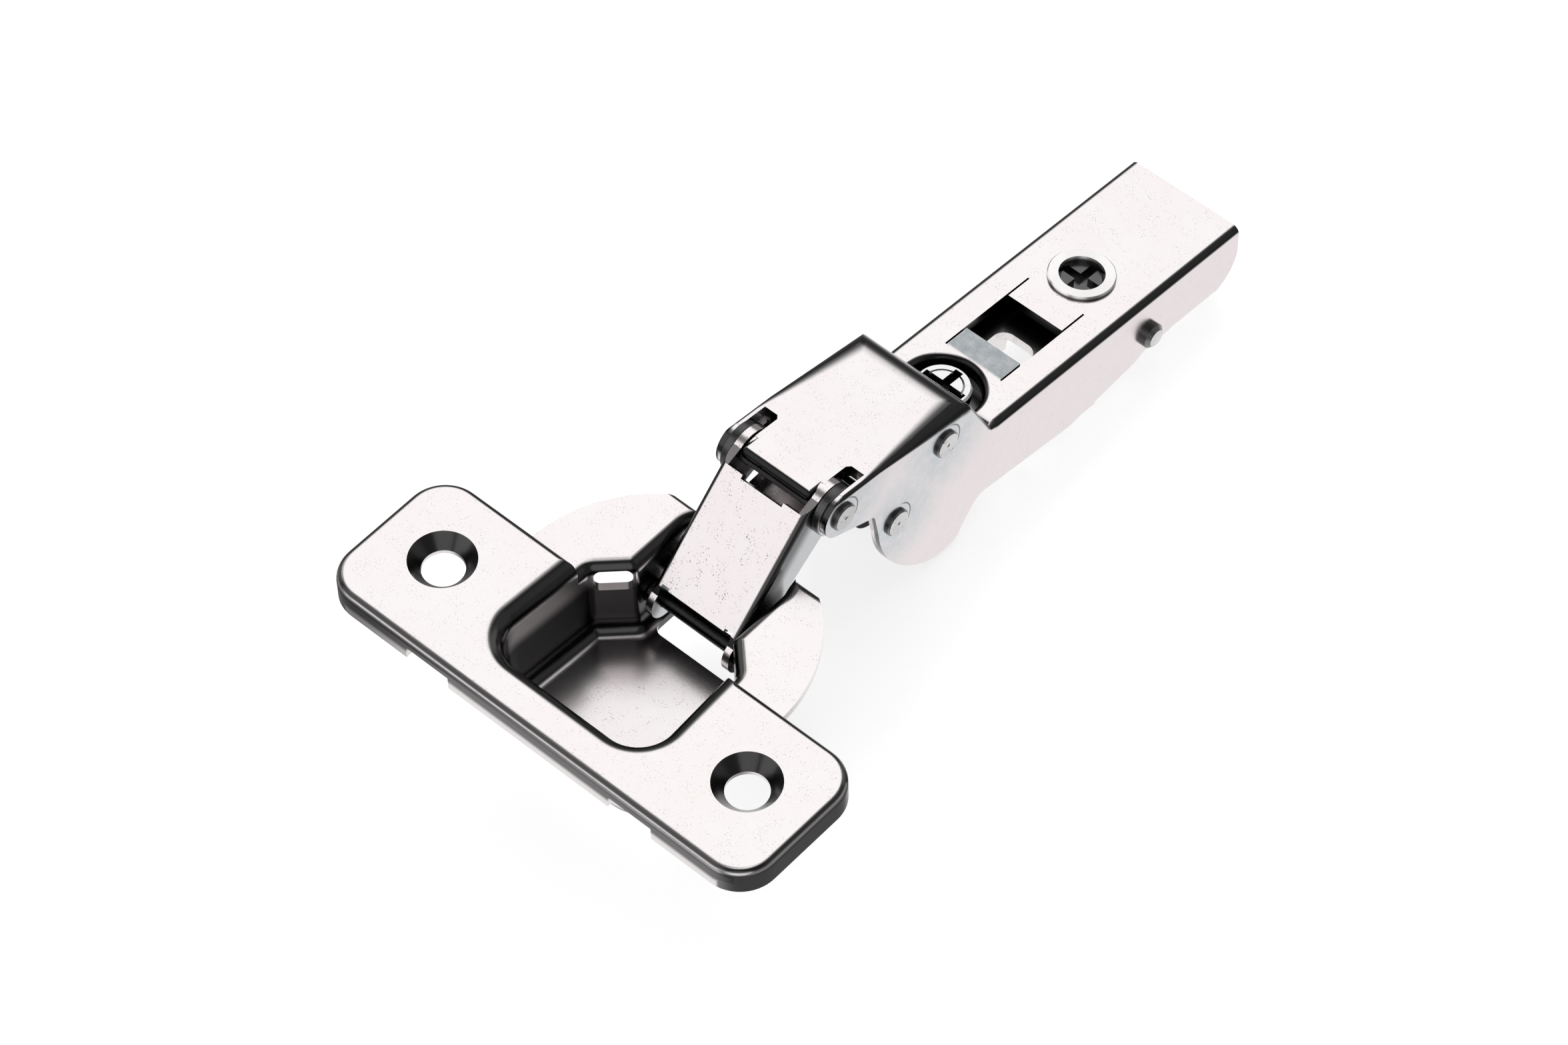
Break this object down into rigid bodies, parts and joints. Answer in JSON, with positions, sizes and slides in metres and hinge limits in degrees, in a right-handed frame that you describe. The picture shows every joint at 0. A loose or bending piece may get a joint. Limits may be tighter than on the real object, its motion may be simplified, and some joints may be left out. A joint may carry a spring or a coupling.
{
  "type": "concealed cup hinge",
  "caption": "Concealed clip-on cabinet door hinge: pressed cup with wings, two links, slotted arm with side and depth adjusters.",
  "frame": {"origin": "axis of the cup's bore, on the door's face", "axes": "+Z out of the door along the cup's axis, X along the wings, +Y from the cup towards the arm; the hinge stands open at its stop"},
  "size_m": [0.0628, 0.1121, 0.0269],
  "materials": {
    "cup_pressing": "bright nickel plate",
    "link_pressing": "bright nickel plate",
    "arm_pressing": "bright nickel plate",
    "carriage_pressing": "bright nickel plate",
    "rivet": "bright nickel plate",
    "spring_steel": "blued spring steel",
    "washer": "bright nickel plate",
    "screw": "bright nickel plate",
    "cam": "bright nickel plate",
    "lever": "bright nickel plate"
  },
  "bodies": {
    "cup_body": {"cup": "cup_pressing", "cup_pin_outer": "rivet", "cup_pin_inner": "rivet", "cup_washer_left": "washer", "cup_washer_right": "washer"},
    "outer_link_body": {"outer_link": "link_pressing"},
    "inner_link_body": {"inner_link": "link_pressing"},
    "arm_body": {"arm": "arm_pressing", "front_rivet": "rivet", "inner_rivet": "rivet", "spring_rivet": "rivet", "rear_pin": "rivet", "arm_washer_left": "washer", "arm_washer_right": "washer", "closing_spring": "spring_steel"},
    "slide_blocks": {"slide_block_left": "washer", "slide_block_right": "washer"},
    "carriage_body": {"carriage": "carriage_pressing", "side_adjust_bush": "cam", "clip_pin": "rivet", "clip_spring": "spring_steel"},
    "side_screw": {"side_adjust_screw": "screw"},
    "depth_cam_body": {"depth_cam": "cam"},
    "clip_lever_body": {"clip_lever": "lever"}
  },
  "joints": [
    {"name": "fold", "type": "hinge", "parent": "cup_body", "child": "outer_link_body", "pos_m": [0, 0.0075, -0.006], "axis": [1, 0, 0], "range_deg": [0, 118]},
    {"name": "arm_turn", "type": "hinge", "parent": "outer_link_body", "child": "arm_body", "pos_m": [0, 0.0222, 0.0063], "axis": [1, 0, 0], "range_deg": [-21.56, 0]},
    {"name": "inner_link_turn", "type": "hinge", "parent": "cup_body", "child": "inner_link_body", "pos_m": [0, 0.0113, -0.0058], "axis": [1, 0, 0], "range_deg": [0, 122]},
    {"name": "side_screw_turn", "type": "hinge", "parent": "carriage_body", "child": "side_screw", "pos_m": [0, 0.04813, -0.00468], "axis": [0, 0.1122, 0.9937], "range_deg": [-120, 240]},
    {"name": "side_tilt", "type": "hinge", "parent": "arm_body", "child": "slide_blocks", "pos_m": [0, 0.07564, -0.01151], "axis": [1, 0, 0], "range_deg": [-0.5, 1]},
    {"name": "depth_cam_turn", "type": "hinge", "parent": "arm_body", "child": "depth_cam_body", "pos_m": [0, 0.07268, -0.00745], "axis": [0, 0.1122, 0.9937], "range_deg": [-60, 60]},
    {"name": "depth_slide", "type": "slide", "parent": "slide_blocks", "child": "carriage_body", "axis": [0, 0.9937, -0.1122], "range_m": [-0.001, 0.001]},
    {"name": "clip_lever_turn", "type": "hinge", "parent": "carriage_body", "child": "clip_lever_body", "pos_m": [0, 0.08304, -0.01284], "axis": [1, 0, 0], "range_deg": [-12, 0], "stiffness_Nm_per_rad": 0.25, "springref_deg": 8.59}
  ],
  "couplings": [
    {"joint": "arm_turn", "follows": "fold", "ratio": -0.1827},
    {"joint": "inner_link_turn", "follows": "fold", "ratio": 1.0338},
    {"joint": "side_tilt", "follows": "side_screw_turn", "ratio": 0.004166},
    {"joint": "depth_cam_turn", "follows": "depth_slide", "rad_per_m": 1047}
  ]
}
